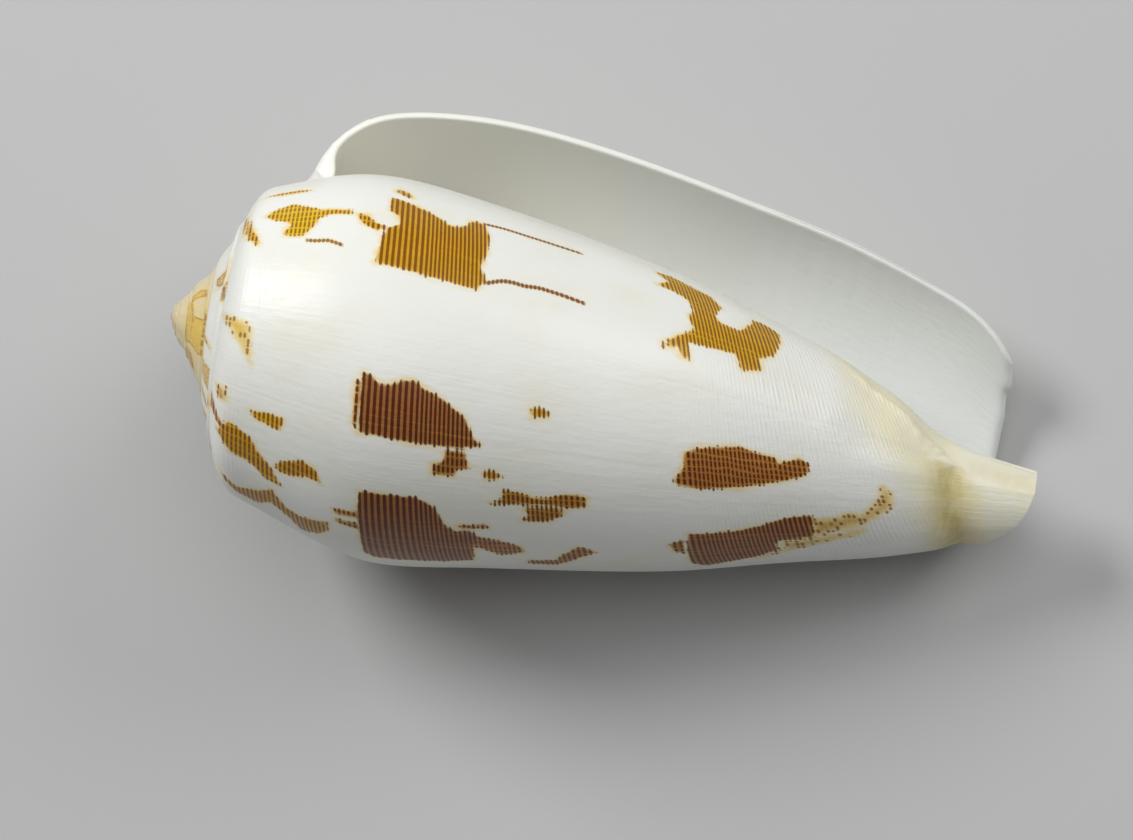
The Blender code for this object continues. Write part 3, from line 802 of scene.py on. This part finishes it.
class Finish:  # a material's nodes, written as short formulas
    def __init__(self, name):
        self.material = bpy.data.materials.new(name)
        self.material.use_nodes = True
        self.nodes = self.material.node_tree.nodes
        self.links = self.material.node_tree.links
        self.surface = self.nodes["Principled BSDF"].inputs

    def give(self, socket, value):
        if isinstance(value, bpy.types.NodeSocket):
            self.links.new(value, socket)
        else:
            socket.default_value = value

    def node(self, kind, inputs, **settings):
        made = self.nodes.new("ShaderNode" + kind)
        for name, value in settings.items():
            setattr(made, name, value)
        for key, value in inputs.items():
            self.give(made.inputs[key], value)
        return made

    def maths(self, kind, *values):
        return self.node("Math", dict(enumerate(values)), operation=kind).outputs[0]

    def vector(self, *values):
        return self.node("CombineXYZ", dict(enumerate(values))).outputs[0]

    def length(self, *values):
        return self.node("VectorMath", {0: self.vector(*values)}, operation="LENGTH").outputs["Value"]

    def parts(self, name):
        layer = self.node("Attribute", {}, attribute_name=name)
        return self.node("SeparateXYZ", {0: layer.outputs["Vector"]}).outputs

    def step(self, value, low, high):
        inputs = {"Value": value, "From Min": low, "From Max": high}
        return self.node("MapRange", inputs, interpolation_type="SMOOTHSTEP").outputs[0]

    def noise(self, place, scale, detail=2):
        inputs = {"Vector": self.vector(*place), "Scale": scale, "Detail": detail}
        return self.node("TexNoise", inputs).outputs[0]

    def chance(self, value):
        return self.node("TexWhiteNoise", {"W": value}, noise_dimensions="1D").outputs["Value"]

    def blend(self, share, low, high):
        return self.node("Mix", {0: share, 6: low, 7: high}, data_type="RGBA").outputs[2]

    def scale(self, value, stops):  # colours along a scale from 0 to 1
        ramp = self.node("ValToRGB", {0: value})
        elements = ramp.color_ramp.elements
        while len(elements) < len(stops):
            elements.new(0.5)
        for element, (position, colour) in zip(elements, stops):
            element.position = position
            element.color = colour
        return ramp.outputs[0]


def paint(red, green, blue):  # a colour as seen on screen, 0 to 255
    seen = [value / 255 for value in (red, green, blue)]
    return [value / 12.92 if value <= 0.04045 else ((value + 0.055) / 1.055) ** 2.4 for value in seen] + [1]


glaze = {
    "white": paint(240, 240, 233),
    "shade": paint(236, 235, 222),
    "spire": paint(226, 208, 158),
    "cream": paint(242, 235, 202),
    "olive": paint(206, 190, 128),
    "fillTones": (  # at tones from 0 to 1, between the lines and on them
        (0, paint(228, 188, 40)),
        (0.4, paint(206, 156, 30)),
        (0.85, paint(178, 116, 54)),
        (1, paint(160, 102, 54)),
    ),
    "lineTones": (
        (0, paint(150, 104, 12)),
        (0.4, paint(130, 74, 5)),
        (0.85, paint(92, 38, 2)),
        (1, paint(80, 30, 2)),
    ),
    "fringe": paint(228, 180, 56),
    "halo": paint(240, 212, 128),
    # The lining is painted paler than the shell's own inside, palest towards the spire: painted light
    # standing in for light through the thin lip and bounced inside it
    "insideWarmPaintedLight": paint(250, 248, 238),
    "insideCool": paint(230, 232, 228),
    "dotDegrees": 2.7,
    "dotHalf": 0.2,  # of its row
    "dotEnd": 4.2,  # how sharply a dot ends
    "lineHalfWidth": 0.27,  # of the threads' spacing
    "lineStart": 0.28,  # mm inside the outline, and over how many a line's end is rounded
    "lineEnd": 0.24,
    "lineFade": (0.7, 1.35),  # in half widths
    "borderWidth": 0.65,
    "haloReach": (-0.65, 0.25),
    "haloShare": 0.75,
    "inkShare": 0.95,
    "spireDegrees": (-640, -260),  # wholly worn before these, fresh white after
    "bodyDegrees": (-20, -10),
    "paintedLightAlong": (8, 80),
    "frontThreads": (50, 66),  # where raised threads come in along the axis, and where they end
    "frontThreadsEnd": (74, 84),
    "shoulderThreadsEnd": (8, 15),
    "roughness": 0.30,
    "insideRoughness": 0.42,
    "ior": 1.40,
    "threadRise": 0.014,  # of the bump, in millimetres
    "growthRise": 0.022,
    "grainRise": 0.04,
}


def glazeMaterial():
    make = Finish("shellGlaze")
    kinds = ("MULTIPLY", "DIVIDE", "ADD", "SUBTRACT", "MAXIMUM")
    times, over, plus, minus, most = (partial(make.maths, kind) for kind in kinds)
    maths, step, noise, blend, chance = make.maths, make.step, make.noise, make.blend, make.chance
    count, degrees, along = make.parts("threadPlace")
    reach, tone, dots = make.parts("stain")
    aside, trail, thickness = make.parts("streak")
    cream, olive, inside = make.parts("tint")

    # Each thread is a number, and the place across it runs from -0.5 to 0.5. Odd factors keep the
    # chances apart.
    thread = maths("ROUND", count)
    across = minus(count, thread)
    row = over(degrees, glaze["dotDegrees"])
    row = plus(row, times(noise((times(thread, 0.21), row, 0), 0.7), 1.4))
    rowNumber = maths("ROUND", row)
    down = minus(row, rowNumber)
    threadChance = chance(thread)
    dotChance = chance(plus(times(thread, 13.7), times(rowNumber, 7.31)))
    wobble = noise((times(thread, 7.3), times(degrees, 0.5), 0), 1.0)
    grain = noise((times(count, 1.3), degrees, along), 1.1)
    pale = minus(1, times(tone, 0.8))

    # Dark lines with rounded ends, broken into dots where a blotch thins out
    ragged = plus(times(threadChance, 0.3), times(wobble, 0.5))
    lineReach = plus(reach, minus(ragged, glaze["lineStart"]))
    cap = most(minus(1, over(lineReach, glaze["lineEnd"])), 0)
    lightRow = step(noise((times(degrees, 0.8), 0, times(thread, 0.02)), 1.0), 0.58, 0.7)
    half = plus(0.72, times(grain, 0.56))
    half = times(half, minus(1, times(lightRow, 0.3)))
    half = times(half, glaze["lineHalfWidth"])
    broken = step(minus(dots, chance(plus(rowNumber, 0.37))), -0.04, 0.04)
    gap = times(most(minus(maths("ABSOLUTE", down), glaze["dotHalf"]), 0), glaze["dotEnd"])
    sparse = times(most(minus(dots, 1), 0), 2)
    half = times(half, plus(1, times(sparse, 0.5)))
    lineShape = make.length(over(across, half), cap, times(gap, broken))
    kept = step(minus(dotChance, sparse), -0.06, -0.01)
    rowChance = chance(plus(rowNumber, 0.71))
    inner = times(step(reach, 0.45, 0.6), step(dots, 0.9, 0.95))  # rows of dots thin out inside
    inner = times(inner, minus(1, step(sparse, 0.0, 0.1)))
    kept = times(kept, minus(1, times(inner, step(rowChance, 0.38, 0.42))))
    lines = times(minus(1, step(lineShape, *glaze["lineFade"])), kept)
    trailShape = make.length(over(aside, thickness), times(across, 2.0))
    trailLine = times(minus(1, step(trailShape, *glaze["lineFade"])), step(trail, 0.2, 0.8))
    trailGlow = times(minus(1, step(maths("ABSOLUTE", aside), 0.0, 0.55)), trail)

    # Ground: white, warmer on the spire, cream at the front, olive in the groove
    patchy = noise((times(along, 0.09), times(degrees, 0.035), 0), 1.0, 3)
    ground = blend(step(patchy, 0.42, 0.72), glaze["white"], glaze["shade"])
    older = minus(1, step(degrees, *glaze["spireDegrees"]))
    ground = blend(times(older, 0.85), ground, glaze["spire"])
    streaky = noise((times(along, 1.3), times(degrees, 0.07), 9), 1.0, 3)
    blotched = plus(0.35, times(streaky, 1.1))
    ground = blend(times(cream, blotched), ground, glaze["cream"])
    ground = blend(times(olive, blotched), ground, glaze["olive"])
    softly = plus(reach, times(minus(noise((along, degrees, 5), 0.35), 0.5), 1.2))
    halo = most(times(step(softly, *glaze["haloReach"]), glaze["haloShare"]), times(trailGlow, 0.5))
    ground = blend(halo, ground, glaze["halo"])

    fill = make.scale(tone, glaze["fillTones"])
    light = noise((times(degrees, 0.35), times(count, 0.08), 0), 1.0, 3)
    fill = blend(times(times(step(light, 0.5, 0.75), 0.5), pale), fill, glaze["fringe"])
    border = minus(1, step(reach, 0.0, glaze["borderWidth"]))
    fill = blend(times(times(border, 0.7), pale), fill, glaze["fringe"])
    fill = blend(times(lightRow, 0.16), fill, glaze["fringe"])
    filled = step(plus(reach, times(wobble, 0.3)), 0.0, plus(0.34, times(sparse, 1.5)))
    filled = times(filled, minus(1, times(sparse, 0.4)))
    onBody = step(degrees, *glaze["bodyDegrees"])
    hatched = plus(0.3, times(step(grain, 0.35, 0.65), 0.6))
    filled = times(filled, most(onBody, hatched))
    colour = blend(filled, ground, fill)
    ink = make.scale(tone, glaze["lineTones"])
    rim = minus(1, step(maths("ABSOLUTE", minus(reach, 0.1)), 0.03, 0.12))
    rim = times(times(rim, minus(1, onBody)), step(wobble, 0.35, 0.6))
    strength = times(minus(glaze["inkShare"], times(sparse, 0.3)), onBody)
    inked = most(times(most(lines, trailLine), strength), times(rim, 0.7))
    colour = blend(inked, colour, ink)
    # Painted light: the lining fades from a pale warm colour near the spire to a cooler one at the front
    paintedLightLining = blend(step(along, *glaze["paintedLightAlong"]), glaze["insideWarmPaintedLight"], glaze["insideCool"])
    colour = blend(inside, colour, paintedLightLining)
    make.give(make.surface["Base Color"], colour)

    roughness = plus(glaze["roughness"], times(noise((count, degrees, 0), 0.8), 0.08))
    roughness = plus(roughness, times(most(cream, olive), 0.08))
    roughness = make.node("Mix", {0: inside, 2: roughness, 3: glaze["insideRoughness"]}).outputs[0]
    make.give(make.surface["Roughness"], roughness)
    make.give(make.surface["IOR"], glaze["ior"])

    # Raised threads towards the front and at the shoulder, growth lines everywhere
    cord = maths("COSINE", times(across, fullTurn))
    front = times(step(along, *glaze["frontThreads"]), minus(1, step(along, *glaze["frontThreadsEnd"])))
    front = plus(front, times(minus(1, step(along, *glaze["shoulderThreadsEnd"])), 0.5))
    uneven = noise((times(thread, 0.7), times(degrees, 0.12), 2), 1.0)
    front = times(plus(front, 0.12), step(uneven, 0.3, 0.7))
    threadHeight = times(times(cord, front), glaze["threadRise"])
    growth = noise((times(degrees, 0.9), times(along, 0.03), inside), 1.0, 3)
    growth = times(growth, minus(1, times(inside, 0.6)))
    fine = noise((times(degrees, 0.4), times(along, 0.6), 4), 1.0, 3)
    height = plus(threadHeight, times(growth, glaze["growthRise"]))
    height = plus(height, times(fine, glaze["grainRise"]))
    bump = make.node("Bump", {"Strength": 1, "Distance": mm, "Height": height})
    make.give(make.surface["Normal"], bump.outputs[0])
    return make.material


shell = buildShell()
print("shell: mesh built,", sum(len(face.vertices) - 2 for face in shell.data.polygons), "triangles")
shell.data.materials.append(glazeMaterial())
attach(shell, "root")
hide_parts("shell")
print("shell: finish made")

# Camera: where the picture was taken from, in the shell's own frame
view = {
    "along": 42.70,
    "up": -2.58,
    "distance": 310,
    "imageRoll": 11.475,  # degrees that the axis slopes down to the right in the picture
    "pictureWidth": 117.82,  # millimetres that the picture spans at the axis
}


def placeCamera():
    lens = bpy.data.cameras.new("camera")
    lens.lens = lens.sensor_width * view["distance"] / view["pictureWidth"]
    lens.clip_start = 0.01
    camera = bpy.data.objects.new("camera", lens)
    scene.collection.objects.link(camera)
    slope = math.radians(view["imageRoll"])
    turn = restMatrix().to_3x3().normalized()
    right = turn @ Vector((math.cos(slope), math.sin(slope), 0))
    top = turn @ Vector((-math.sin(slope), math.cos(slope), 0))
    back = turn @ Vector((0, 0, 1))
    aimed = Matrix((right, top, back)).transposed().to_4x4()
    eye = restMatrix() @ Vector((view["along"], view["up"], view["distance"]))
    camera.matrix_world = Matrix.Translation(eye) @ aimed
    scene.camera = camera


studio = {
    "floorHalf": 1.2,
    "floorColour": (0.52, 0.52, 0.515, 1),
    "floorRoughness": 0.8,
    "worldColour": (0.92, 0.96, 1, 1),
    "worldStrength": 0.15,
    "aim": (0, 0, 0.015),
    "lights": {  # place, width and power
        "keyLight": ((-0.44, 0.22, 0.50), 0.3, 2.75),
        "fillLight": ((0.1, 0.12, 0.72), 0.5, 1.35),
        "sideLight": ((0.34, 0.34, 0.42), 0.3, 1.1),
    },
}


def addFloor():
    half = studio["floorHalf"]
    mesh = bpy.data.meshes.new("floor")
    corners = [(-half, -half, 0), (half, -half, 0), (half, half, 0), (-half, half, 0)]
    mesh.from_pydata(corners, [], [(0, 1, 2, 3)])
    floor = bpy.data.objects.new("floor", mesh)
    scene.collection.objects.link(floor)
    paper = Finish("floorPaper")
    paper.give(paper.surface["Base Color"], studio["floorColour"])
    paper.give(paper.surface["Roughness"], studio["floorRoughness"])
    mesh.materials.append(paper.material)


def addLight(name, place, size, power):
    lamp = bpy.data.lights.new(name, "AREA")
    lamp.shape = "DISK"
    lamp.size = size
    lamp.energy = power
    light = bpy.data.objects.new(name, lamp)
    light.location = place
    light.rotation_euler = (Vector(studio["aim"]) - Vector(place)).to_track_quat("-Z", "Y").to_euler()
    scene.collection.objects.link(light)


placeCamera()
addFloor()
for name, (place, size, power) in studio["lights"].items():
    addLight(name, place, size, power)
world = bpy.data.worlds.new("studio")
world.use_nodes = True
background = world.node_tree.nodes["Background"].inputs
background["Color"].default_value = studio["worldColour"]
background["Strength"].default_value = studio["worldStrength"]
scene.world = world
scene.view_settings.view_transform = "Standard"
print("scene: camera, floor and lights placed")
